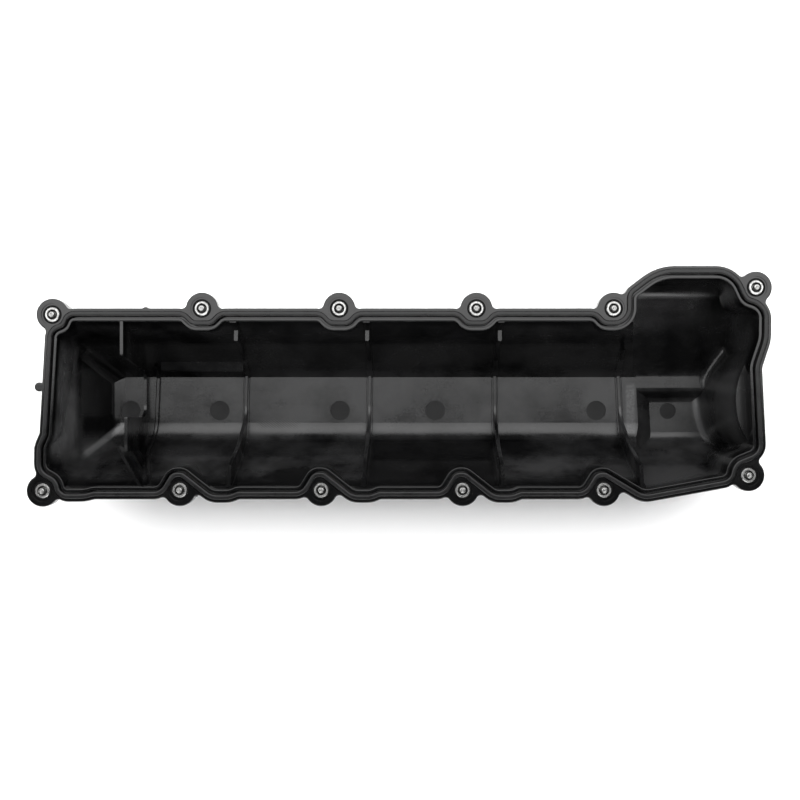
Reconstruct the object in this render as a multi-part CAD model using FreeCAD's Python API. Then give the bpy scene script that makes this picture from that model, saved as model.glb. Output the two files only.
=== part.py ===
import FreeCAD, Part
import math
import os

# Rocker cover for one bank of an overhead-cam engine, with its perimeter gasket and captive screws.
# Frame, in millimetres: the origin is on the gasket's sealing plane, midway between the two screw
# rows. +Z is the outward normal of that plane, towards the cylinder head, so the cover lies open side
# up. +X runs along the cylinders to the wide timing end, and +Y is across the engine.

Vector = FreeCAD.Vector
X_AXIS, Y_AXIS, Z_AXIS = Vector(1, 0, 0), Vector(0, 1, 0), Vector(0, 0, 1)

# ---- driving dimensions ----
WALL = 3.0                     # moulded wall
FLANGE_Z = -1.0                # flange face; the gasket crest stands 1 mm above it
FLANGE_DEPTH = 9.0             # thickness of the flange ring
LIP_WIDTH = 2.2                # land between the cavity and the gasket groove
GROOVE_WIDTH = 5.0
GROOVE_DEPTH = 4.6
FLANGE_WIDTH = 9.2             # cavity edge to the outer edge of the flange
FLANGE_SOFT, LIP_SOFT = 1.0, 0.5
CROWN_Z = -74.0                # inner face of the crown over the cylinders
TIMING_Z = -86.0               # inner face of the deeper crown at the timing end
TOP_Z = 8.0                    # every cutting tool starts this far above the sealing plane
DEEP_Z = -120.0                # and ends below the whole cover
FEET_Z = TIMING_Z - WALL       # lowest level of the outside, which the posts share

# screws: four on each long side at an even pitch, and one at each corner
UPPER_ROW_Y, UPPER_FIRST_X, UPPER_PITCH = 66.0, -142.9, 99.0
LOWER_ROW_Y, LOWER_FIRST_X, LOWER_PITCH = -65.0, -158.9, 102.0
ROW_COUNT = 4
CORNER_SCREWS = {
    "upper_left": (-250.7, 61.6),
    "upper_right": (256.7, 81.2),
    "lower_left": (-257.8, -65.5),
    "lower_right": (251.3, -54.3),
}

# boss, isolator and screw, all turned about the screw's axis
BOSS_R = 11.6
COLUMN_R = 9.8
BOSS_END_Z = -22.0
BORE_R = 6.7
SEAT_R, SEAT_DEPTH = 8.0, 0.6
GROMMET_R, GROMMET_TOP_Z = 6.6, -1.5
GROMMET_FLANGE_R, GROMMET_FLANGE = 9.4, 2.5
SLEEVE_R, SLEEVE_BORE_R, SLEEVE_TOP_Z = 5.25, 3.4, -0.7
SLEEVE_FLANGE_R, SLEEVE_FLANGE = 7.6, 1.5
CRIMP_R, CRIMP_LENGTH = 2.9, 1.5
THREAD_R, THREAD_LENGTH = 3.0, 14.0
SHANK_R = 2.55
DOG_R, DOG_LENGTH, TIP_Z = 2.1, 2.6, 1.3
SCREW_TRAVEL = 12.0
HEAD_ACROSS_FLATS, HEAD_HEIGHT = 8.0, 6.0
HEAD_FLANGE_R, HEAD_FLANGE = 6.5, 1.6
CLEARANCE = 0.3


def screw_positions():
    """Every screw's name and centre, in the order left to right along each row."""
    places = {}
    for side, y, first, pitch in (("upper", UPPER_ROW_Y, UPPER_FIRST_X, UPPER_PITCH),
                                  ("lower", LOWER_ROW_Y, LOWER_FIRST_X, LOWER_PITCH)):
        row = [CORNER_SCREWS[side + "_left"]]
        row += [(first + pitch * i, y) for i in range(ROW_COUNT)]
        row.append(CORNER_SCREWS[side + "_right"])
        for number, place in enumerate(row, 1):
            places["%s_%d" % (side, number)] = place
    return places


# ---- outlines ----
def rounded_loop(corners, place):
    """A closed wire through corners (a, b, radius), each rounded by a tangent arc. place maps (a, b)."""
    count = len(corners)
    ends = []
    for i, (a, b, radius) in enumerate(corners):
        corner = Vector(a, b, 0)
        before = Vector(corners[i - 1][0], corners[i - 1][1], 0) - corner
        after = Vector(corners[(i + 1) % count][0], corners[(i + 1) % count][1], 0) - corner
        before.normalize()
        after.normalize()
        half = before.getAngle(after) / 2
        if radius == 0:
            ends.append((corner, None, corner))
            continue
        back = radius / math.tan(half)
        bisector = (before + after).normalize()
        middle = corner + bisector * (radius / math.sin(half) - radius)
        ends.append((corner + before * back, middle, corner + after * back))
    edges = []
    for i, (start, middle, end) in enumerate(ends):
        if middle is not None:
            edges.append(Part.Arc(place(start), place(middle), place(end)).toShape())
        following = ends[(i + 1) % count][0]
        if (following - end).Length > 1e-6:
            edges.append(Part.LineSegment(place(end), place(following)).toShape())
    return Part.Wire(edges)


def in_plan(z):
    return lambda p: Vector(p.x, p.y, z)


def across(x):
    """Section plane at x: the outline's (a, b) are (Y, Z)."""
    return lambda p: Vector(x, p.x, p.y)


def along(y):
    """Section plane at y: the outline's (a, b) are (X, Z)."""
    return lambda p: Vector(p.x, y, p.y)


def shifted(points, x, y):
    return [(x + a, y + b, radius) for a, b, radius in points]


# The cavity edge bends in round each screw. These corners are measured from the screw's centre.
UPPER_BEND = [(-15.5, -9.0, 4.0), (-9.0, -15.9, 13.0), (9.0, -15.9, 13.0), (15.5, -9.0, 4.0)]
LOWER_BEND_RIGHT = [(41.0, 2.5, 10.0), (35.0, 0.0, 10.0), (24.4, 0.0, 8.0), (3.5, 16.4, 10.5)]
LOWER_BEND_LEFT = [(-7.5, 16.4, 10.5), (-16.1, 2.5, 5.0)]


def cavity_corners():
    """Corners of the cavity's edge at the flange, clockwise from the upper left corner."""
    corners = [(-247.0, 46.9, 3.5), (-238.5, 50.5, 10.0), (-236.4, 57.0, 2.5)]
    for i in range(ROW_COUNT - 1):
        corners += shifted(UPPER_BEND, UPPER_FIRST_X + UPPER_PITCH * i, UPPER_ROW_Y)
    last = UPPER_FIRST_X + UPPER_PITCH * (ROW_COUNT - 1)
    corners += shifted(UPPER_BEND[:2], last, UPPER_ROW_Y)
    # round the last screw of the row and out into the timing bulge
    corners += [(last + 16.5, 50.1, 16.0), (last + 16.5, 74.0, 3.0), (188.5, 87.6, 28.0)]
    corners += [(237.0, 87.6, 14.0), (245.9, 68.5, 13.0), (258.8, 64.3, 8.0)]
    corners += [(258.6, 44.5, 20.0), (252.0, 24.5, 20.0), (255.0, -35.3, 5.0)]
    corners += [(237.3, -42.5, 15.0), (234.8, -54.2, 4.0), (176.4, -64.8, 8.0)]
    last = LOWER_FIRST_X + LOWER_PITCH * (ROW_COUNT - 1)
    corners += shifted([(2.5, 16.2, 10.5)] + LOWER_BEND_LEFT, last, LOWER_ROW_Y)
    for i in reversed(range(ROW_COUNT - 1)):
        bend = LOWER_BEND_RIGHT + LOWER_BEND_LEFT
        corners += shifted(bend, LOWER_FIRST_X + LOWER_PITCH * i, LOWER_ROW_Y)
    corners += [(-222.0, -62.5, 20.0), (-228.0, -64.3, 20.0), (-241.8, -64.3, 3.0)]
    corners += [(-243.8, -55.0, 14.0), (-255.0, -49.0, 5.0)]
    corners += [(-254.9, -35.0, 8.0), (-251.1, -26.0, 8.0)]
    return corners


def grown(wire, distance):
    """The wire moved outwards by distance, as a face."""
    if distance == 0:
        return Part.Face(wire)
    return Part.Face(wire.makeOffset2D(distance))


def prism(face, bottom, top):
    """A face in plan, raised from bottom to top."""
    base = face.copy()
    base.translate(Vector(0, 0, bottom - base.BoundBox.ZMin))
    return base.extrude(Z_AXIS * (top - bottom))


def ring(outer, inner, bottom, top):
    return prism(outer.cut(inner), bottom, top)


EDGE = rounded_loop(cavity_corners(), in_plan(0))

# Cross sections (Y, Z, radius) of the inside of the roof, over the cylinders and at the timing end,
# where a pocket goes below the crown.
MAIN_SECTION = [(61.3, TOP_Z, 0), (44.0, -44.0, 24.0), (18.0, CROWN_Z, 0), (-28.5, CROWN_Z, 19.0),
                (-46.0, -46.0, 20.0), (-67.7, TOP_Z, 0)]
TIMING_SECTION = [(93.0, TOP_Z, 0), (86.0, -36.0, 22.0), (20.0, CROWN_Z, 6.0), (7.5, CROWN_Z, 4.0),
                  (1.0, TIMING_Z, 5.0), (-31.0, TIMING_Z, 9.0), (-50.0, -52.0, 24.0), (-74.0, TOP_Z, 0)]
# Long section (X, Z, radius) that closes both ends.
LONG_SECTION = [(-257.0, TOP_Z, 0), (-247.0, -46.0, 14.0), (-219.0, -80.0, 6.0), (-200.0, DEEP_Z, 0),
                (200.0, DEEP_Z, 0), (245.0, -98.0, 10.0), (251.0, -60.0, 40.0), (262.0, TOP_Z, 0)]
# The timing chamber starts at a step that leans outwards with depth (X, Z, radius).
CHAMBER_SECTION = [(169.5, TOP_Z, 0), (183.5, -71.5, 8.0), (198.5, TIMING_Z, 4.0),
                   (215.0, DEEP_Z, 0), (300.0, DEEP_Z, 0), (300.0, TOP_Z, 0)]
CHAMBER_SKEW = -0.05           # sideways lean of the step for each millimetre of Y
# The right end wall bulges inwards: a cone stands outside it, with its axis along Z.
BULGE_CENTRE_X, BULGE_TOP_Z, BULGE_TOP_R, BULGE_FOOT_Z, BULGE_FOOT_R = 301.0, -14.0, 55.0, -100.0, 65.5
BULGE_TAPER = (BULGE_FOOT_R - BULGE_TOP_R) / (BULGE_TOP_Z - BULGE_FOOT_Z)
BULGE_CORNER_R = 5.5          # the corner between the bulge and the floor
LEFT_BEND_R = 12.0             # where the sloping left end meets the crown and the lower wall
REACH_Y = 110.0
LEFT_X, MAIN_END_X, RIGHT_X = -290.0, 206.0, 300.0


def tunnel(section, growth, x0, x1):
    wire = rounded_loop(section, across(x0))
    face = grown(wire, growth)
    return face.extrude(X_AXIS * (x1 - x0))


def end_bulge(growth):
    """The cone that pushes the right end wall inwards."""
    height = BULGE_TOP_Z - growth - BULGE_FOOT_Z
    top_r = BULGE_TOP_R + BULGE_TAPER * growth - growth
    foot = Vector(BULGE_CENTRE_X, 0, BULGE_FOOT_Z)
    return Part.makeCone(BULGE_FOOT_R - growth, top_r, height, foot)


def left_end(ends, growth):
    """The tunnel over the cylinders, closed at the left end. Inside, the end meets the crown in a bend."""
    volume = tunnel(MAIN_SECTION, growth, LEFT_X, MAIN_END_X).common(ends)
    if growth > 0:
        return volume
    (top_x, top_z, _), (low_x, _, _) = LONG_SECTION[1:3]
    bends = []
    for edge in volume.Edges:
        box = edge.BoundBox
        if box.XMin > top_x and box.XMax < low_x and 1.0 < box.YLength < 60.0 and box.ZMax < top_z:
            bends.append(edge)
    return volume.makeFillet(LEFT_BEND_R, bends)


def roof_volume(growth):
    """Everything inside the roof, or inside its outer face when growth is the wall."""
    timing = tunnel(TIMING_SECTION, growth, LEFT_X, RIGHT_X)
    step = grown(rounded_loop(CHAMBER_SECTION, along(-REACH_Y)), growth)
    step = step.extrude(Vector(CHAMBER_SKEW * 2 * REACH_Y, 2 * REACH_Y, 0))
    step.translate(Vector(-CHAMBER_SKEW * REACH_Y, 0, 0))
    ends = grown(rounded_loop(LONG_SECTION, along(-REACH_Y)), growth)
    ends = ends.extrude(Y_AXIS * 2 * REACH_Y)
    plan = prism(grown(EDGE, growth), DEEP_Z, TOP_Z)
    volume = left_end(ends, growth).fuse(timing.common(step).common(ends)).common(plan)
    return volume.cut(end_bulge(growth)).removeSplitter()


# ---- ribs inside the cover ----
RIB_THICKNESS, RIB_SOFT = 2.8, 0.9
RIB_TOP_Z, RIB_UPPER_TOP_Z = -4.0, -19.0       # the ribs stop lower against the upper wall
RIB_END_Y, RIB_START_Y = 49.0, -58.0           # where the positions below are measured
# X at the two ends of each rib, and the Y where it stops at the upper wall
RIBS = ((-121.3, -123.8, 57.0), (-24.5, -25.9, 57.0), (73.4, 74.2, 57.0), (169.5, 175.0, 38.0))
RIB_ARCH = [(46.5, TOP_Z, 0), (42.5, -30.0, 60.0), (24.5, CROWN_Z + 2.2, 8.0),
            (-13.5, CROWN_Z + 2.2, 16.0), (-34.5, -39.0, 40.0), (-51.0, TOP_Z, 0)]
FOOT_THICKNESS, FOOT_HEIGHT, FOOT_SOFT = 5.2, 0.9, 0.8
LEANING_RIB_HEIGHT, LEANING_RIB_THICKNESS, LEANING_RIB_SOFT = 2.2, 3.0, 0.9
LEANING_RIB = [(-191.3, 26.0, 0), (-193.0, -17.0, 30.0), (-195.6, -41.0, 12.0), (-180.0, -64.0, 0)]
BAFFLE_THICKNESS = 2.2


def plate(thickness, section, x):
    """A plate standing across the cover, centred on x, with its outline in (Y, Z)."""
    face = Part.Face(rounded_loop(section, across(x - thickness / 2)))
    return face.extrude(X_AXIS * thickness)


def arch_web(thickness, arch, radius, end_y, upper_top_z):
    """A plate across x = 0 with an arch cut out of it, and the arch's edges rounded.

    On the upper side it stops at end_y and reaches up to upper_top_z."""
    slab = [(-REACH_Y, RIB_TOP_Z, 0), (0, RIB_TOP_Z, 0), (0, upper_top_z, 0), (end_y, upper_top_z, 0),
            (end_y, DEEP_Z, 0), (-REACH_Y, DEEP_Z, 0)]
    web = plate(thickness, slab, 0).cut(arch)
    edges = []
    for edge in web.Edges:
        box = edge.BoundBox
        on_side = box.XLength < 1e-6
        on_arch = box.YMin > -REACH_Y / 1.5 and box.ZMin > DEEP_Z / 1.2
        on_top = box.ZLength < 1e-6 and box.ZMin > upper_top_z - 1e-6
        if on_side and on_arch and not on_top:
            edges.append(edge)
    return web.makeFillet(radius, edges)


def cross_rib(upper_x, lower_x, end_y):
    """An arch-shaped web, deep at the flange and low over the crown, on a low rounded foot."""
    arch = plate(RIB_THICKNESS + 2, RIB_ARCH, 0)
    foot_wire = rounded_loop(MAIN_SECTION, across(-FOOT_THICKNESS))
    foot_arch = grown(foot_wire, -FOOT_HEIGHT).extrude(X_AXIS * 2 * FOOT_THICKNESS)
    rib = arch_web(RIB_THICKNESS, arch, RIB_SOFT, end_y, RIB_UPPER_TOP_Z)
    rib = rib.fuse(arch_web(FOOT_THICKNESS, foot_arch, FOOT_SOFT, end_y, RIB_TOP_Z - 0.5))
    lean = math.degrees(math.atan2(lower_x - upper_x, RIB_END_Y - RIB_START_Y))
    rib.rotate(Vector(0, (RIB_END_Y + RIB_START_Y) / 2, 0), Z_AXIS, lean)
    rib.translate(X_AXIS * ((upper_x + lower_x) / 2))
    return rib


def shelf():
    """A narrow step beside the crown in the first bay."""
    section = [(34.0, -59.5, 0), (22.4, -62.3, 3.0), (17.8, CROWN_Z - 0.5, 0), (34.0, CROWN_Z - 0.5, 0)]
    return plate(64.0, section, -155.0)


def leaning_rib():
    """The first rib is low and round-edged. It swings left with depth, and stops above the crown."""
    half = LEANING_RIB_THICKNESS / 2
    strip = [(x + half, y, radius) for x, y, radius in LEANING_RIB]
    strip += [(x - half, y, radius) for x, y, radius in reversed(LEANING_RIB)]
    web = prism(Part.Face(rounded_loop(strip, in_plan(0))), DEEP_Z, RIB_TOP_Z)
    web = web.cut(tunnel(MAIN_SECTION, -LEANING_RIB_HEIGHT, LEFT_X, MAIN_END_X))
    edges = []
    for edge in web.Edges:
        box = edge.BoundBox
        if box.ZMin > CROWN_Z and box.YLength > 1.0 and box.ZMax < RIB_TOP_Z + 1e-6 and box.YMin > -60.0:
            edges.append(edge)
    return web.makeFillet(LEANING_RIB_SOFT, edges)


def corner_section(height, slope, y, radius):
    """The bulge's rounded corner where the floor is at this height at y, through the bulge's axis."""
    reach = BULGE_TOP_R + (BULGE_TOP_Z - height) * BULGE_TAPER
    sine = y / reach
    out = Vector(-math.sqrt(1 - sine * sine), sine, 0)
    corner = Vector(BULGE_CENTRE_X, 0, height) + out * reach
    up = (Z_AXIS - out * BULGE_TAPER).normalize()
    away = (out + Z_AXIS * (slope * sine)).normalize()
    half = up.getAngle(away) / 2
    bisector = (up + away).normalize()
    start, end = corner + up * (radius / math.tan(half)), corner + away * (radius / math.tan(half))
    middle = corner + bisector * (radius / math.sin(half) - radius)
    buried = corner - bisector * (WALL / 3)
    return Part.Wire([Part.Arc(start, middle, end).toShape(), Part.LineSegment(end, buried).toShape(),
                      Part.LineSegment(buried, start).toShape()])


def bulge_corners():
    """Rounded corner at the foot of the bulge: round the deep pocket, and up the sloping floor beside it."""
    axis_foot = Vector(BULGE_CENTRE_X, 0, 0)
    pocket = Part.Face(corner_section(TIMING_Z, 0, 0, BULGE_CORNER_R))
    pocket.rotate(axis_foot, Z_AXIS, -5)
    pocket = pocket.revolve(axis_foot, Z_AXIS, 38)
    (start_y, start_z, _), (end_y, end_z, _) = TIMING_SECTION[2], TIMING_SECTION[1]
    slope = (end_z - start_z) / (end_y - start_y)
    sections = [corner_section(CROWN_Z, 0, 8.5, BULGE_CORNER_R / 3)]
    sections.append(corner_section(CROWN_Z, 0, 13.0, BULGE_CORNER_R))
    for y in (22.0, 29.0, 36.0, 43.0):
        sections.append(corner_section(start_z + slope * (y - start_y), slope, y, BULGE_CORNER_R))
    return [pocket, Part.makeLoft(sections, True, False)]


def baffles():
    """Oil baffle by the breather compartment: a notched web and a slanted one."""
    web_x, top_z = -201.2, -2.5
    web = [(70.0, top_z, 0), (32.4, top_z, 1.0), (25.0, -49.0, 8.0), (20.0, -69.0, 5.0), (-13.5, -69.0, 9.0),
           (-12.4, -14.0, 1.0), (-37.5, -14.0, 0), (-37.5, DEEP_Z, 0), (70.0, DEEP_Z, 0)]
    start, end = Vector(-204.2, -34.0, 0), Vector(-185.2, -67.0, 0)
    side = (end - start).cross(Z_AXIS).normalize() * (BAFFLE_THICKNESS / 2)
    corners = [start + side, end + side, end - side, start - side, start + side]
    slanted = Part.Face(Part.makePolygon(corners)).extrude(Z_AXIS * (top_z - DEEP_Z))
    slanted.translate(Z_AXIS * DEEP_Z)
    return [plate(BAFFLE_THICKNESS, web, web_x), slanted]


# ---- outside of the cover ----
GUSSET_THICKNESS, GUSSET_PITCH, GUSSET_FIRST_X, GUSSET_COUNT = 2.4, 33.0, -214.0, 12
GUSSET_END_Z = -30.0
ROOF_RIB_HEIGHT, ROOF_RIB_THICKNESS = 3.0, 2.6
ROOF_RIB_X = (-172.0, -122.5, -74.0, -25.2, 24.0, 73.8, 124.0)
POSTS = ((-196.0, -20.0), (-196.0, 8.0), (24.0, -20.0), (24.0, 8.0))
POST_R = 6.0


def disc(x, y, radius, bottom, top):
    return Part.makeCylinder(radius, top - bottom, Vector(x, y, bottom))


OUTLINE_BLEND = 3.5
NUB = (-260.3, 9.4, 3.4)       # small round lug on the left end (X, Y, radius)
BUMP = (-183.6, 64.2, 3.0)     # gate mark on the upper edge


def outer_wire(solid, top):
    """The outer edge of a prism's top face."""
    level = [f for f in solid.Faces if abs(f.BoundBox.ZMin - top) < 1e-6]
    return max(level, key=lambda f: f.Area).OuterWire


def flange_outline():
    """The flange's outer outline: the cavity edge moved out and joined to the bosses by soft corners."""
    slab = prism(grown(EDGE, FLANGE_WIDTH), -1.0, 0.0)
    bosses = [disc(x, y, BOSS_R, -1.0, 0.0) for x, y in screw_positions().values()]
    outline = outer_wire(slab.fuse(bosses).removeSplitter(), 0.0)
    blended = prism(grown(outline.makeOffset2D(OUTLINE_BLEND), -OUTLINE_BLEND), -1.0, 0.0)
    lugs = [disc(x, y, radius, -1.0, 0.0) for x, y, radius in (NUB, BUMP)]
    return Part.Face(outer_wire(blended.fuse(lugs).removeSplitter(), 0.0))


def flange_plate():
    """The flange ring's outer body, with its face's outer edge rounded."""
    slab = prism(flange_outline(), FLANGE_Z - FLANGE_DEPTH, FLANGE_Z)
    rim = [e for e in slab.Edges if abs(e.BoundBox.ZMin - FLANGE_Z) < 1e-6]
    return slab.makeFillet(FLANGE_SOFT, rim)


def lip():
    """The raised wall between the cavity and the groove, with both top edges rounded."""
    wall = ring(grown(EDGE, LIP_WIDTH), grown(EDGE, 0), FLANGE_Z - GROOVE_DEPTH - 1.0, FLANGE_Z)
    rim = [e for e in wall.Edges if abs(e.BoundBox.ZMin - FLANGE_Z) < 1e-6]
    return wall.makeFillet(LIP_SOFT, rim)


def boss_columns():
    columns = []
    for x, y in screw_positions().values():
        column = Part.makeCone(COLUMN_R, BOSS_R - 0.6, FLANGE_Z - 3 - BOSS_END_Z, Vector(x, y, BOSS_END_Z))
        columns.append(column)
        inward = -1 if y > 0 else 1
        web = Part.makeBox(6.0, 12.0, FLANGE_Z - BOSS_END_Z - 3, Vector(x - 3.0, y - 6.0, BOSS_END_Z + 1.5))
        web.translate(Vector(0, inward * 9.0, 0))
        columns.append(web)
    return columns


def gussets():
    """Small triangular webs under the flange, down the outside of the long walls."""
    webs = []
    for i in range(GUSSET_COUNT):
        x = GUSSET_FIRST_X + GUSSET_PITCH * i
        for side in (1, -1):
            face_y = 57.0 if side > 0 else 62.0
            section = [(side * (face_y - 6.0), FLANGE_Z - 4, 0), (side * (face_y + 8.0), FLANGE_Z - 4, 0),
                       (side * (face_y - 1.0), GUSSET_END_Z, 0), (side * (face_y - 6.0), GUSSET_END_Z, 0)]
            webs.append(plate(GUSSET_THICKNESS, section, x))
    room = [disc(x, y, COLUMN_R + CLEARANCE, DEEP_Z, BOSS_END_Z) for x, y in screw_positions().values()]
    return [web.cut(room) for web in webs]


def roof_ribs():
    """Low ribs and resting posts on the roof's outer face."""
    ribs = []
    swollen = tunnel(MAIN_SECTION, WALL + ROOF_RIB_HEIGHT, LEFT_X, MAIN_END_X)
    below_flange = Part.makeBox(600, 2 * REACH_Y, 120, Vector(-300, -REACH_Y, -34.0 - 120))
    for x in ROOF_RIB_X:
        corner = Vector(x - ROOF_RIB_THICKNESS / 2, -REACH_Y, -150)
        slab = Part.makeBox(ROOF_RIB_THICKNESS, 2 * REACH_Y, 200, corner)
        ribs.append(slab.common(swollen).common(below_flange))
    for x, y in POSTS:
        ribs.append(disc(x, y, POST_R, FEET_Z, CROWN_Z - WALL / 2))
    return ribs


DISC_Y, DISC_R, DISC_DEPTH = -8.4, 7.8, 0.45
DISC_X = (-214.0, -143.6, -48.5, 26.7, 154.0)
TIMING_DISC = (213.5, -8.8, 6.5)


def ejector_marks():
    """Shallow round witness marks in the crown."""
    marks = [disc(x, DISC_Y, DISC_R, CROWN_Z - DISC_DEPTH, CROWN_Z + 1) for x in DISC_X]
    x, y, radius = TIMING_DISC
    marks.append(disc(x, y, radius, TIMING_Z - DISC_DEPTH, TIMING_Z + 1))
    return marks


def cover_shell():
    inside = roof_volume(0)
    outer = roof_volume(WALL)
    below = Part.makeBox(700, 400, TOP_Z - DEEP_Z, Vector(-350, -200, DEEP_Z + FLANGE_Z - TOP_Z))
    body = outer.common(below).fuse([flange_plate()] + boss_columns() + gussets() + roof_ribs())
    groove = prism(grown(EDGE, LIP_WIDTH + GROOVE_WIDTH), FLANGE_Z - GROOVE_DEPTH, TOP_Z)
    body = body.cut([inside, groove]).fuse(lip())
    ribs = [cross_rib(*ends) for ends in RIBS] + [leaning_rib(), shelf()] + baffles() + bulge_corners()
    body = body.fuse([rib.common(inside) for rib in ribs])
    cuts = ejector_marks()
    for x, y in screw_positions().values():
        cuts.append(disc(x, y, BORE_R, BOSS_END_Z - 1, TOP_Z))
        cuts.append(disc(x, y, SEAT_R, FLANGE_Z - SEAT_DEPTH, TOP_Z))
    return body.cut(cuts).removeSplitter()


# ---- gasket ----
GASKET_IN, GASKET_OUT = 3.5, 6.9
GASKET_CREST_R = 1.0


def gasket():
    """Press-in-place bead: a plain body in the groove with a rounded crest above the flange."""
    bottom = FLANGE_Z - GROOVE_DEPTH
    bead = ring(grown(EDGE, GASKET_OUT), grown(EDGE, GASKET_IN), bottom, 0.0)
    crest = [e for e in bead.Edges if abs(e.BoundBox.ZMin) < 1e-6 and abs(e.BoundBox.ZMax) < 1e-6]
    return bead.makeFillet(GASKET_CREST_R, crest)


# ---- isolator and screw, turned about Z through the origin ----
def turned(profile):
    """A solid of revolution about Z from (radius, z) corners."""
    points = [Vector(r, 0, z) for r, z in profile]
    return Part.Face(Part.makePolygon(points + points[:1])).revolve(Vector(), Z_AXIS, 360)


def sleeve():
    """Compression limiter: a steel tube with a flange at the screw-head side and a crimp inside."""
    end = BOSS_END_Z - GROMMET_FLANGE - SLEEVE_FLANGE
    crimp_top = TIP_Z - DOG_LENGTH - THREAD_LENGTH - CLEARANCE
    chamfer = 0.4
    return turned([(SLEEVE_BORE_R + chamfer, SLEEVE_TOP_Z), (SLEEVE_R - chamfer, SLEEVE_TOP_Z),
                   (SLEEVE_R, SLEEVE_TOP_Z - chamfer), (SLEEVE_R, end + SLEEVE_FLANGE),
                   (SLEEVE_FLANGE_R, end + SLEEVE_FLANGE), (SLEEVE_FLANGE_R, end), (SLEEVE_BORE_R, end),
                   (SLEEVE_BORE_R, crimp_top - CRIMP_LENGTH), (CRIMP_R, crimp_top - CRIMP_LENGTH + chamfer),
                   (CRIMP_R, crimp_top - chamfer), (SLEEVE_BORE_R, crimp_top),
                   (SLEEVE_BORE_R, SLEEVE_TOP_Z - chamfer)])


def grommet():
    """Rubber isolator round the sleeve, with a flange under the boss."""
    gap = 0.05
    end = BOSS_END_Z - GROMMET_FLANGE
    soft = 0.5
    return turned([(SLEEVE_R + gap, GROMMET_TOP_Z), (GROMMET_R - soft, GROMMET_TOP_Z),
                   (GROMMET_R, GROMMET_TOP_Z - soft), (GROMMET_R, BOSS_END_Z),
                   (GROMMET_FLANGE_R - soft, BOSS_END_Z), (GROMMET_FLANGE_R, BOSS_END_Z - soft),
                   (GROMMET_FLANGE_R, end + soft), (GROMMET_FLANGE_R - soft, end), (SLEEVE_R + gap, end)])


def screw():
    """Flange-head screw, dropped by its travel: dog point, thread, waisted shank and hexagon head."""
    thread_top = TIP_Z - DOG_LENGTH
    thread_end = thread_top - THREAD_LENGTH
    seat = BOSS_END_Z - GROMMET_FLANGE - SLEEVE_FLANGE - SCREW_TRAVEL
    chamfer = 0.5
    body = turned([(0, TIP_Z), (DOG_R - chamfer, TIP_Z), (DOG_R, TIP_Z - chamfer), (DOG_R, thread_top),
                   (THREAD_R, thread_top - (THREAD_R - DOG_R)), (THREAD_R, thread_end + chamfer),
                   (SHANK_R, thread_end), (SHANK_R, seat), (HEAD_FLANGE_R, seat),
                   (HEAD_FLANGE_R, seat - HEAD_FLANGE / 2), (HEAD_FLANGE_R - 1.6, seat - HEAD_FLANGE),
                   (0, seat - HEAD_FLANGE)])
    corner_r = HEAD_ACROSS_FLATS / math.sqrt(3)
    corners = [Vector(corner_r * math.cos(math.radians(60 * i)), corner_r * math.sin(math.radians(60 * i)),
                      seat - HEAD_HEIGHT) for i in range(6)]
    head = Part.Face(Part.makePolygon(corners + corners[:1])).extrude(Z_AXIS * (HEAD_HEIGHT - 0.5))
    dome = Part.makeCone(corner_r - 0.9, corner_r + 1.6, HEAD_HEIGHT, Vector(0, 0, seat - HEAD_HEIGHT))
    return body.fuse(head.common(dome)).removeSplitter()


def write(shape, name):
    solids = shape.Solids
    print("%-20s valid %s, solids %d, volume %.1f" % (name, shape.isValid(), len(solids), shape.Volume))
    single = solids[0] if len(solids) == 1 else shape
    single.exportStep("parts/%s.step" % name)


def main():
    os.makedirs("parts", exist_ok=True)
    write(cover_shell(), "cover_shell")
    write(gasket(), "gasket")
    turned_parts = {"limiter_sleeve": sleeve(), "grommet": grommet(), "screw": screw()}
    for place_name, (x, y) in screw_positions().items():
        for part_name, shape in turned_parts.items():
            placed = shape.copy()
            placed.translate(Vector(x, y, 0))
            write(placed, "%s_%s" % (part_name, place_name))


main()
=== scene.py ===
import bmesh
import bpy
import math
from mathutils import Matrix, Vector


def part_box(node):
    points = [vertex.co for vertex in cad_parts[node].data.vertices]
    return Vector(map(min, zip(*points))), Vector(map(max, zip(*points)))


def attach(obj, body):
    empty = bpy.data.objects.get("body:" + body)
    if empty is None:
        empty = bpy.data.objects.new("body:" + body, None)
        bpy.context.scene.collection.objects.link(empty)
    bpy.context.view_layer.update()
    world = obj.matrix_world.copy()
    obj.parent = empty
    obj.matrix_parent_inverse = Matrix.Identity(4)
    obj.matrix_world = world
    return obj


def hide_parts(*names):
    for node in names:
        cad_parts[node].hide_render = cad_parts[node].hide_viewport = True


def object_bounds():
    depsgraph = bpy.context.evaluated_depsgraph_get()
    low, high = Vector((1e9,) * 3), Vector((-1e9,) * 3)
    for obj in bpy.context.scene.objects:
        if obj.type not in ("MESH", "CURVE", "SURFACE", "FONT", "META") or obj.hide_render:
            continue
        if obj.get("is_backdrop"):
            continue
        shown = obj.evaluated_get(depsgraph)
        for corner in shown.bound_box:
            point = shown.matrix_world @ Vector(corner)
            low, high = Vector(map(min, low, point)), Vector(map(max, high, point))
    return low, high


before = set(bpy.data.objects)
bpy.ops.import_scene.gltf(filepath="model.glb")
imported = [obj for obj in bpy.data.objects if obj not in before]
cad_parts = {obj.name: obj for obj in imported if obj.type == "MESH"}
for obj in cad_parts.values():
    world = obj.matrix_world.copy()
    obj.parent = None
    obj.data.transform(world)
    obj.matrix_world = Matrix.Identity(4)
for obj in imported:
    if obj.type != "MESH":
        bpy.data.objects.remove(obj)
CAD_LOW, CAD_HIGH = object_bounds()
MM = 0.001

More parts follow.
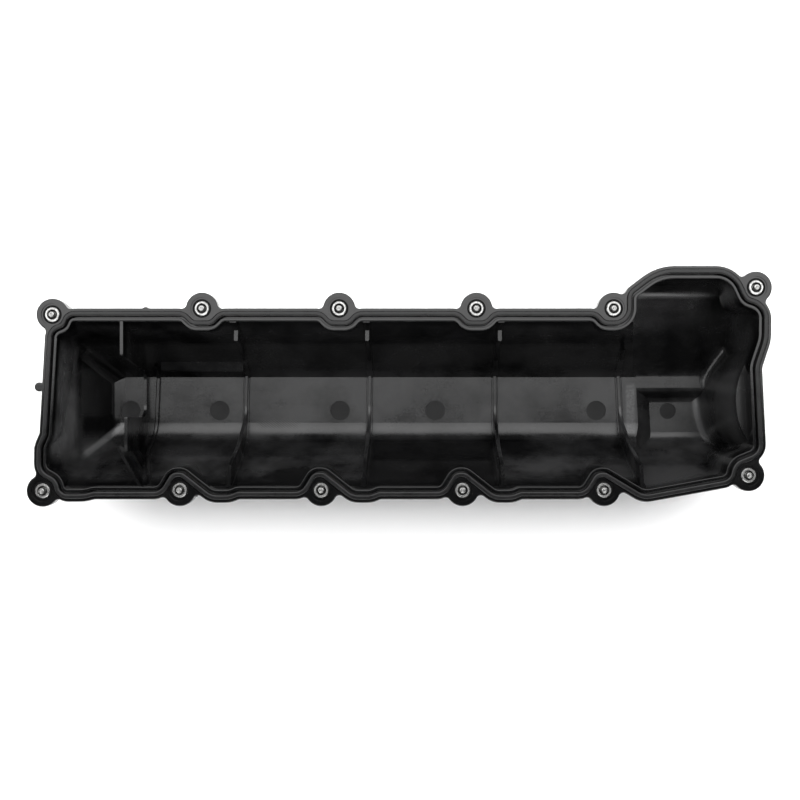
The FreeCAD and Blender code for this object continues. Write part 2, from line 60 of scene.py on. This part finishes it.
# ---- what the CAD says, in mm where it is a number ----
SCREWS = sorted(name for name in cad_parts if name.startswith("screw_"))
SLEEVES = sorted(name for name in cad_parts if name.startswith("limiter_sleeve_"))
GROMMETS = sorted(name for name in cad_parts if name.startswith("grommet_"))
CROWN_Z, TIMING_Z = -74.0, -86.0                      # inner faces of the roof
DISC_Y, DISC_R = -8.4, 7.8                            # round ejector marks on the crown
DISC_X = (-214.0, -143.6, -48.5, 26.7, 154.0)
TIMING_DISC = (213.5, -8.8, 6.5)                      # x, y and radius of the one in the timing chamber
BULGE_X, BULGE_FOOT_R = 301.0, 65.3                   # the bulge in the right end: axis, radius at its foot
END_WALL_X, END_SLOPE_X = -251.0, -231.0              # middles of the left end's wall and slope
END_BEND_X, END_BEND_LEAN = -201.9, 0.95              # bend under that slope: x where y is 0, x per y
STEP_X = 181.0                                        # crown just before the timing chamber's step

# ---- marks left by tools ----
HATCH_LEAN, HATCH_PER_MM = 0.75, 3.6                  # ridges on the crown: slant, radians of wave per mm
RINGS_PER_MM = 34.0                                   # lathe rings on the steel: radians of wave per mm


# ---- node graphs ----
class Graph:
    """One material's nodes. Most methods add a node, fed with numbers or sockets, and return its output."""

    def __init__(self, name, base, roughness, metallic=0.0):
        self.material = bpy.data.materials.new(name)
        self.material.use_nodes = True
        self.tree = self.material.node_tree
        self.shader = self.tree.nodes["Principled BSDF"]
        self.shader.inputs["Base Color"].default_value = (*base, 1.0)
        self.shader.inputs["Roughness"].default_value = roughness
        self.shader.inputs["Metallic"].default_value = metallic
        place = self.tree.nodes.new("ShaderNodeTexCoord").outputs["Object"]
        self.mm = self.vector("SCALE", place, scale=1.0 / MM)

    def set_input(self, socket, value):
        if isinstance(value, bpy.types.NodeSocket):
            self.tree.links.new(value, socket)
        else:
            socket.default_value = value

    def vector(self, operation, a, b=None, scale=None):
        node = self.tree.nodes.new("ShaderNodeVectorMath")
        node.operation = operation
        self.set_input(node.inputs[0], a)
        if b is not None:
            self.set_input(node.inputs[1], b)
        if scale is not None:
            self.set_input(node.inputs["Scale"], scale)
        return node.outputs["Value"] if operation in ("LENGTH", "DISTANCE") else node.outputs["Vector"]

    def math(self, operation, a, b=0.0, clamp=False):
        node = self.tree.nodes.new("ShaderNodeMath")
        node.operation = operation
        node.use_clamp = clamp
        self.set_input(node.inputs[0], a)
        self.set_input(node.inputs[1], b)
        return node.outputs[0]

    def chain(self, operation, first, *others):
        """The values joined one after another by the same operation."""
        result = first
        for other in others:
            result = self.math(operation, result, other)
        return result

    def band(self, value, centre, half, soft):
        """1 where value is within half of centre, fading over soft."""
        away = self.math("ABSOLUTE", self.math("SUBTRACT", value, centre))
        return self.span(away, half, half + soft, 1.0, 0.0, smooth=True)

    def swing(self, value, height):
        """value from 0..1 spread evenly about 0, height from end to end."""
        return self.math("MULTIPLY", self.math("SUBTRACT", value, 0.5), height)

    def parts(self, vector):
        node = self.tree.nodes.new("ShaderNodeSeparateXYZ")
        self.set_input(node.inputs[0], vector)
        return node.outputs

    def noise(self, place, scale, detail=3.0, roughness=0.55, stretch=None):
        node = self.tree.nodes.new("ShaderNodeTexNoise")
        where = self.vector("MULTIPLY", place, stretch) if stretch else place
        self.set_input(node.inputs["Vector"], where)
        node.inputs["Scale"].default_value = scale
        node.inputs["Detail"].default_value = detail
        node.inputs["Roughness"].default_value = roughness
        return node.outputs["Fac"]

    def spots(self, place, scale, size):
        """1 inside small round specks, 0 elsewhere."""
        node = self.tree.nodes.new("ShaderNodeTexVoronoi")
        self.set_input(node.inputs["Vector"], place)
        node.inputs["Scale"].default_value = scale
        return self.span(node.outputs["Distance"], size, size * 0.5, 0.0, 1.0)

    def span(self, value, low, high, to_low, to_high, smooth=False):
        """value from low..high mapped to to_low..to_high and held there."""
        node = self.tree.nodes.new("ShaderNodeMapRange")
        node.interpolation_type = "SMOOTHSTEP" if smooth else "LINEAR"
        for name, given in (("Value", value), ("From Min", low), ("From Max", high),
                            ("To Min", to_low), ("To Max", to_high)):
            self.set_input(node.inputs[name], given)
        return node.outputs["Result"]

    def mix(self, amount, a, b):
        node = self.tree.nodes.new("ShaderNodeMix")
        node.data_type = "RGBA"
        self.set_input(node.inputs["Factor"], amount)
        self.set_input(node.inputs["A"], (*a, 1.0) if isinstance(a, tuple) else a)
        self.set_input(node.inputs["B"], (*b, 1.0) if isinstance(b, tuple) else b)
        return node.outputs["Result"]

    def color(self, value):
        self.set_input(self.shader.inputs["Base Color"], value)

    def rough(self, value):
        self.set_input(self.shader.inputs["Roughness"], value)

    def bump(self, layers):
        """layers: (height socket, depth in mm), added up one after another."""
        normal = None
        for height, depth in layers:
            node = self.tree.nodes.new("ShaderNodeBump")
            node.inputs["Strength"].default_value = 1.0
            node.inputs["Distance"].default_value = depth * MM
            self.set_input(node.inputs["Height"], height)
            if normal is not None:
                self.set_input(node.inputs["Normal"], normal)
            normal = node.outputs["Normal"]
        self.set_input(self.shader.inputs["Normal"], normal)


def ejector_marks(g):
    """1 on the round witness marks in the roof."""
    discs = [(x, DISC_Y, DISC_R, CROWN_Z) for x in DISC_X] + [(*TIMING_DISC, TIMING_Z)]
    marks = []
    for x, y, radius, level in discs:
        away = g.vector("DISTANCE", g.mm, (x, y, level))
        marks.append(g.span(away, radius - 0.2, radius + 0.1, 1.0, 0.0))
    return g.chain("MAXIMUM", *marks)


def tool_marks(g, x, y, z):
    """Slanted ridges along the lower edge of the crown in the second bay, -1 to 1, and 0 elsewhere."""
    slanted = g.math("ADD", g.math("MULTIPLY", x, HATCH_LEAN), y)
    ridges = g.math("SINE", g.math("MULTIPLY", slanted, HATCH_PER_MM))
    patch = g.chain("MULTIPLY", g.band(x, -97.0, 12.0, 8.0), g.band(y, -19.0, 2.2, 2.5),
                    g.band(z, CROWN_Z, 1.5, 1.5))
    return g.math("MULTIPLY", ridges, patch)


def end_wall_painted_highlight(g, x, y, z):
    """A painted highlight, drawn out downwards, on the wall at the left end."""
    highlight_noise = g.noise(g.mm, 0.30, detail=5.0, roughness=0.65, stretch=(1.0, 0.16, 0.16))
    return g.chain("MULTIPLY", g.span(highlight_noise, 0.35, 0.65, 0.35, 1.0), g.band(x, END_WALL_X, 5.0, 2.5),
                   g.band(y, -1.0, 32.0, 16.0), g.band(z, -26.0, 14.0, 8.0))


def sleek_and_shaded_walls(g, x, y, z):
    """Smoother plastic whose colour also takes painted shade: the lower wall of the third bay, the foot of
    the lower wall along the bays, the upper wall, and the slope at the left end."""
    lower = g.span(y, -24.0, -33.0, 0.0, 1.0, smooth=True)
    bay = g.math("MULTIPLY", g.band(x, 24.0, 44.0, 8.0), lower)
    foot = g.chain("MULTIPLY", g.band(z, -60.0, 6.0, 8.0), g.math("MULTIPLY", lower, 0.6),
                   g.band(x, -13.0, 183.0, 14.0))
    upper = g.span(y, 18.0, 26.0, 0.0, 0.6, smooth=True)
    slope = g.math("MULTIPLY", g.band(x, END_SLOPE_X, 11.0, 5.0), g.band(y, 2.0, 24.0, 14.0))
    return g.chain("MAXIMUM", bay, slope, foot, upper)


def painted_highlight_lines(g, x, y, z):
    """Painted highlight lines: the bend under the left end's slope, the foot of the bulge in the right end
    and the crown before the timing chamber's step."""
    across_bend = g.math("SUBTRACT", x, g.math("MULTIPLY", y, END_BEND_LEAN))
    bend = g.chain("MULTIPLY", g.band(across_bend, END_BEND_X, 1.8, 3.0), g.band(y, -33.0, 12.0, 4.0),
                   g.span(z, -50.0, -42.0, 1.0, 0.0), g.span(y, -48.0, -20.0, 0.35, 1.0))
    to_axis = g.vector("MULTIPLY", g.vector("SUBTRACT", g.mm, (BULGE_X, 0.0, 0.0)), (1.0, 1.0, 0.0))
    foot_line = g.chain("MULTIPLY", g.band(g.vector("LENGTH", to_axis), BULGE_FOOT_R, 1.2, 1.8),
                        g.band(y, -16.0, 13.0, 8.0), g.span(z, -78.0, -72.0, 0.7, 0.0))
    patchy = g.span(g.noise(g.mm, 0.5, detail=5.0), 0.4, 0.6, 0.3, 0.8)
    strip = g.chain("MULTIPLY", g.band(x, STEP_X, 2.2, 2.5), g.band(y, -8.0, 17.0, 6.0),
                    g.band(z, CROWN_Z, 1.5, 1.0), patchy)
    return g.chain("MAXIMUM", bend, foot_line, strip)


def cover_plastic():
    """Black glass-filled nylon: satin, with cloudy gloss, flow lines, a fine grain and a few scuffs, with
    painted highlights on the left end and along some bends, and painted shade on some walls.
    """
    g = Graph("cover_plastic", (0.007, 0.007, 0.0072), 0.24)
    x, y, z = g.parts(g.mm)
    cloud = g.noise(g.mm, 0.022, detail=5.0, roughness=0.6)
    flow = g.noise(g.mm, 0.05, detail=4.0, roughness=0.5, stretch=(0.6, 1.0, 1.0))
    grain = g.noise(g.mm, 2.4, detail=3.0, roughness=0.6)
    streaks = g.noise(g.mm, 0.7, detail=4.0, roughness=0.7, stretch=(0.05, 1.0, 1.0))
    scuff = g.noise(g.mm, 0.16, detail=8.0, roughness=0.75, stretch=(0.3, 1.0, 1.0))
    scuff = g.span(scuff, 0.60, 0.74, 0.0, 1.0)
    dust = g.spots(g.mm, 0.16, 0.05)
    marks = ejector_marks(g)

    # the flange is moulded smooth, the inside slightly etched
    depth = g.span(z, -24.0, -8.0, 1.0, 0.0, smooth=True)
    # mask for walls that are smoother and also carry painted shade in their colour
    sleek_and_shade = g.math("MULTIPLY", sleek_and_shaded_walls(g, x, y, z), depth)
    # painted highlights: a patch on the left end wall, and lines along the bend under the left end's slope,
    # the bulge's foot and the crown before the step
    painted_light_mask = g.math("MAXIMUM", end_wall_painted_highlight(g, x, y, z), painted_highlight_lines(g, x, y, z))

    # painted shade: where the mask is high, the cloudy tone is held down towards the dark base colour
    inside = g.chain("MULTIPLY", g.span(cloud, 0.38, 0.62, 0.0, 1.0), depth,
                     g.span(sleek_and_shade, 0.0, 1.0, 1.0, 0.15))
    tone = g.mix(inside, (0.0010, 0.0010, 0.0011), (0.019, 0.019, 0.0194))
    # the colour is lifted to a lighter grey where the highlights are painted
    tone = g.mix(painted_light_mask, tone, (0.065, 0.065, 0.066))
    tone = g.mix(g.math("MULTIPLY", scuff, 0.3), tone, (0.022, 0.022, 0.022))
    tone = g.mix(g.math("MULTIPLY", dust, 0.3), tone, (0.07, 0.068, 0.065))
    g.color(g.mix(marks, tone, (0.004, 0.004, 0.0042)))

    clouding = g.math("MULTIPLY", g.span(cloud, 0.3, 0.7, -0.05, 0.07), depth)
    rough = g.chain("ADD", g.span(flow, 0.3, 0.7, 0.13, 0.21), g.math("MULTIPLY", depth, 0.12),
                    clouding, g.swing(grain, 0.10), g.math("MULTIPLY", scuff, 0.10))
    rough = g.math("SUBTRACT", rough, g.math("MULTIPLY", sleek_and_shade, 0.12))
    g.rough(g.math("ADD", rough, g.math("MULTIPLY", marks, 0.45), clamp=True))
    g.shader.inputs["Specular IOR Level"].default_value = 0.33
    g.bump([(flow, 0.10), (streaks, 0.02), (grain, 0.010), (tool_marks(g, x, y, z), 0.04)])
    return g.material


def moulded_rubber(name, base, roughness, gloss, specular):
    """Moulded rubber: soft sheen, faint mould bloom and a fine skin. Its roughness varies by gloss."""
    g = Graph(name, base, roughness)
    g.shader.inputs["Specular IOR Level"].default_value = specular
    bloom = g.noise(g.mm, 0.08, detail=5.0, roughness=0.65)
    skin = g.noise(g.mm, 3.0, detail=2.0)
    lighter = tuple(c * 2.2 + 0.002 for c in base)
    g.color(g.mix(g.span(bloom, 0.4, 0.75, 0.0, 1.0), base, lighter))
    rough = g.span(bloom, 0.3, 0.7, roughness - gloss, roughness + gloss)
    g.rough(g.math("ADD", rough, g.swing(skin, 0.12), clamp=True))
    g.bump([(skin, 0.010), (bloom, 0.05)])
    return g.material


def turned_steel(name, low, high, roughness):
    """Zinc-plated turned steel: rings left by the tool, faint clouding and a few dull spots."""
    g = Graph(name, high, roughness, metallic=1.0)
    radius = g.vector("LENGTH", g.vector("MULTIPLY", g.mm, (1.0, 1.0, 0.0)))
    along = g.math("ADD", radius, g.parts(g.mm)["Z"])
    rings = g.math("SINE", g.math("MULTIPLY", along, RINGS_PER_MM))
    wander = g.noise(g.mm, 0.7, detail=4.0, roughness=0.6)
    fine = g.noise(g.mm, 5.0, detail=2.0)
    dull = g.span(g.noise(g.mm, 1.6, detail=5.0, roughness=0.7), 0.58, 0.75, 0.0, 1.0)
    tone = g.mix(g.span(wander, 0.35, 0.7, 0.0, 1.0), high, low)
    g.color(g.mix(g.math("MULTIPLY", dull, 0.7), tone, tuple(c * 0.45 for c in low)))
    rough = g.span(wander, 0.3, 0.7, roughness - 0.08, roughness + 0.08)
    rough = g.math("ADD", rough, g.math("MULTIPLY", dull, 0.22))
    g.rough(g.math("ADD", rough, g.swing(fine, 0.1), clamp=True))
    g.bump([(rings, 0.004), (fine, 0.008)])
    return g.material


FINISHES = {
    "cover_plastic": cover_plastic(),
    "gasket_rubber": moulded_rubber("gasket_rubber", (0.0025, 0.0025, 0.0026), 0.30, 0.05, 0.23),
    "grommet_rubber": moulded_rubber("grommet_rubber", (0.003, 0.003, 0.003), 0.62, 0.08, 0.06),
    "sleeve_steel": turned_steel("sleeve_steel", (0.20, 0.20, 0.196), (0.34, 0.34, 0.335), 0.30),
    "screw_steel": turned_steel("screw_steel", (0.16, 0.16, 0.157), (0.27, 0.27, 0.265), 0.34),
}


def finish_node(obj, slot):
    obj.data.materials.clear()
    obj.data.materials.append(FINISHES[slot])


# ---- pieces: the screws, in mm ----
THREAD_R, THREAD_DEPTH, THREAD_PITCH, THREAD_TOP, THREAD_LENGTH = 3.0, 0.5, 1.0, -2.3, 14.0
THREAD_STEPS, THREAD_IN, THREAD_OUT = 8, 8, 6         # rows in a pitch, rows over which it starts and ends
SHANK_R, DOG_R, TIP_Z = 2.55, 2.1, 1.3
HEAD_HEIGHT, HEAD_FLATS, HEAD_FLANGE_R, HEAD_FLANGE = 6.0, 8.0, 6.5, 1.6
CHAMFER_R, CHAMFER_SLOPE = 3.65, 1.45                 # on the hexagon's end: its radius there, growth per mm
SIDES, CREASE_DEGREES = 48, 30


def thread_radius(z, turn, root):
    """Radius of the thread's surface at height z and angle turn (0 to 1), for a 60 degree form."""
    phase = (z / THREAD_PITCH + turn) % 1.0
    rise = min(1.0, max(0.0, 1.5 - abs(phase - 0.5) * 4.0))
    return root + (THREAD_R - root) * rise


def hex_radius(turn, flats, corner):
    """Distance from the axis to a hexagon's side, with its corners cut round."""
    angle = (turn * 6.0 % 1.0 - 0.5) * math.pi / 3.0
    return min(flats / 2.0 / math.cos(angle), corner)


def skin_rows(rows):
    """A closed mesh through rows of (z, radius function of turn), capped at both ends."""
    mesh = bmesh.new()
    rings = []
    for z, radius in rows:
        ring = []
        for i in range(SIDES):
            turn = i / SIDES
            angle = 2 * math.pi * turn
            r = radius(turn)
            ring.append(mesh.verts.new((r * math.cos(angle) * MM, r * math.sin(angle) * MM, z * MM)))
        rings.append(ring)
    for lower, upper in zip(rings, rings[1:]):
        for i in range(SIDES):
            j = (i + 1) % SIDES
            mesh.faces.new((lower[i], lower[j], upper[j], upper[i]))
    mesh.faces.new(list(reversed(rings[0])))
    mesh.faces.new(rings[-1])
    bmesh.ops.recalc_face_normals(mesh, faces=mesh.faces)
    return mesh


def plain(radius):
    return lambda turn: radius


def hexagon(flats, corner):
    return lambda turn: hex_radius(turn, flats, corner)


def thread_row(z, share):
    """The thread at height z, raised from the shank by its share of the full form."""
    root = THREAD_R - THREAD_DEPTH
    return lambda turn: SHANK_R + (thread_radius(z, turn, root) - SHANK_R) * share


def head_rows(bottom_z):
    """Hexagon with a hollow in its end and a flange above it."""
    corner = HEAD_FLATS / 2.0 / math.cos(math.pi / 6.0)
    flange_top = bottom_z + HEAD_HEIGHT
    flange_low = flange_top - HEAD_FLANGE
    rows = [(bottom_z + 0.9, plain(2.2)),
            (bottom_z + 0.5, plain(3.0)),
            (bottom_z, plain(3.3)),
            (bottom_z, plain(3.55))]
    for step in (0.15, 0.4, 0.7):
        rows.append((bottom_z + step, hexagon(HEAD_FLATS, CHAMFER_R + CHAMFER_SLOPE * step)))
    rows += [(flange_low - 0.3, hexagon(HEAD_FLATS, corner - 0.06)),
             (flange_low - 0.1, hexagon(HEAD_FLATS + 0.25, corner + 0.1)),
             (flange_low + 0.35, plain(HEAD_FLANGE_R - 0.9)),
             (flange_top - 0.8, plain(HEAD_FLANGE_R - 0.15)),
             (flange_top - 0.55, plain(HEAD_FLANGE_R)),
             (flange_top - 0.15, plain(HEAD_FLANGE_R)),
             (flange_top, plain(HEAD_FLANGE_R - 0.15)),
             (flange_top, plain(SHANK_R + 0.25)),
             (flange_top + 0.2, plain(SHANK_R))]
    return rows


def thread_rows():
    """Rolled thread that rises from the shank and falls away at its top."""
    low_z = THREAD_TOP - THREAD_LENGTH
    step = THREAD_PITCH / THREAD_STEPS
    count = int(round(THREAD_LENGTH / step))
    rows = [(low_z - 0.6, plain(SHANK_R))]
    for i in range(count + 1):
        z = low_z + i * step
        rows.append((z, thread_row(z, min(1.0, i / THREAD_IN, (count - i) / THREAD_OUT))))
    return rows


def dog_rows():
    """Plain dog point with a centre hole in its tip."""
    return [(THREAD_TOP + 0.25, plain(DOG_R + 0.08)),
            (THREAD_TOP + 0.5, plain(DOG_R)),
            (TIP_Z - 0.55, plain(DOG_R)),
            (TIP_Z - 0.25, plain(DOG_R - 0.15)),
            (TIP_Z, plain(DOG_R - 0.55)),
            (TIP_Z, plain(0.9)),
            (TIP_Z - 0.35, plain(0.45))]


def screw_mesh(bottom_z):
    """Captive M6 screw, point up: flanged hexagon head, waisted shank, rolled thread and a dog point."""
    return skin_rows(head_rows(bottom_z) + thread_rows() + dog_rows())


def shade(obj, degrees):
    """Smooth shading, with creases where faces meet at more than this angle."""
    for polygon in obj.data.polygons:
        polygon.use_smooth = True
    obj.data.set_sharp_from_angle(angle=math.radians(degrees))


def add_piece(name, mesh, place, slot, body):
    """A new object from the mesh at place, with its finish, its slot and the body that carries it."""
    data = bpy.data.meshes.new(name)
    mesh.to_mesh(data)
    mesh.free()
    obj = bpy.data.objects.new(name, data)
    bpy.context.scene.collection.objects.link(obj)
    obj.location = place
    finish_node(obj, slot)
    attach(obj, body)
    return obj


for node in SCREWS:
    low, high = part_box(node)
    centre = (low + high) / 2
    place = (centre.x, centre.y, 0.0)
    screw = add_piece(node + "_threaded", screw_mesh(low.z / MM), place, "screw_steel", node)
    shade(screw, CREASE_DEGREES)
    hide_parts(node)

finish_node(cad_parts["cover_shell"], "cover_plastic")
finish_node(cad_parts["gasket"], "gasket_rubber")
for node in SLEEVES:
    finish_node(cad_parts[node], "sleeve_steel")
for node in GROMMETS:
    finish_node(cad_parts[node], "grommet_rubber")


# ---- floor, light and camera, in metres ----
FLOOR_HALF, FLAT_R, FLOOR_RISE, FLOOR_CELLS = 6.0, 2.8, 0.25, 60
CAMERA_X, CAMERA_HEIGHT, FRAME_WIDTH = 0.011, 0.75, 0.5757
SENSOR = 36.0                                         # mm


def floor():
    """A flat floor that rises into a backdrop all round."""
    mesh = bmesh.new()
    bmesh.ops.create_grid(mesh, x_segments=FLOOR_CELLS, y_segments=FLOOR_CELLS, size=FLOOR_HALF)
    for vertex in mesh.verts:
        beyond = max(0.0, math.hypot(vertex.co.x, vertex.co.y) - FLAT_R)
        vertex.co.z = FLOOR_RISE * beyond ** 2
    for face in mesh.faces:
        face.smooth = True
    data = bpy.data.meshes.new("floor")
    mesh.to_mesh(data)
    mesh.free()
    obj = bpy.data.objects.new("floor", data)
    bpy.context.scene.collection.objects.link(obj)
    obj.location.z = CAD_LOW.z
    g = Graph("floor_paint", (0.92, 0.92, 0.92), 0.85)
    mottle = g.noise(g.mm, 0.004, detail=4.0)
    g.color(g.mix(mottle, (0.90, 0.90, 0.90), (0.94, 0.94, 0.94)))
    obj.data.materials.append(g.material)
    obj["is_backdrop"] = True


def softbox(name, place, aim, size, watts):
    """A rectangular area light at place, turned towards aim."""
    light = bpy.data.lights.new(name, "AREA")
    light.shape = "RECTANGLE"
    light.size, light.size_y = size
    light.energy = watts
    obj = bpy.data.objects.new(name, light)
    bpy.context.scene.collection.objects.link(obj)
    obj.location = place
    obj.rotation_euler = (Vector(aim) - Vector(place)).to_track_quat("-Z", "Y").to_euler()


floor()
softbox("key", (0.0, 1.02, 1.25), (0.0, 1.02, 0.0), (4.2, 1.98), 120.0)
softbox("back", (0.0, 2.3, 0.75), (0.0, 0.0, 0.0), (4.0, 1.2), 40.0)
softbox("front", (0.0, -2.2, 0.55), (0.0, 0.0, -0.1), (4.0, 1.0), 75.0)
softbox("left", (-1.7, -0.3, 0.7), (0.0, 0.0, -0.05), (0.9, 1.2), 9.0)

world = bpy.data.worlds.new("studio")
world.use_nodes = True
background = world.node_tree.nodes["Background"]
background.inputs["Color"].default_value = (0.9, 0.92, 0.95, 1.0)
background.inputs["Strength"].default_value = 0.10
bpy.context.scene.world = world

camera = bpy.data.cameras.new("camera")
camera.sensor_width = SENSOR
camera.lens = SENSOR * CAMERA_HEIGHT / FRAME_WIDTH
camera.shift_x = -CAMERA_X / FRAME_WIDTH
camera_object = bpy.data.objects.new("camera", camera)
camera_object.location = (CAMERA_X, 0.0, CAMERA_HEIGHT)
bpy.context.scene.collection.objects.link(camera_object)
bpy.context.scene.camera = camera_object
bpy.context.scene.view_settings.view_transform = "Standard"

low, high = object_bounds()
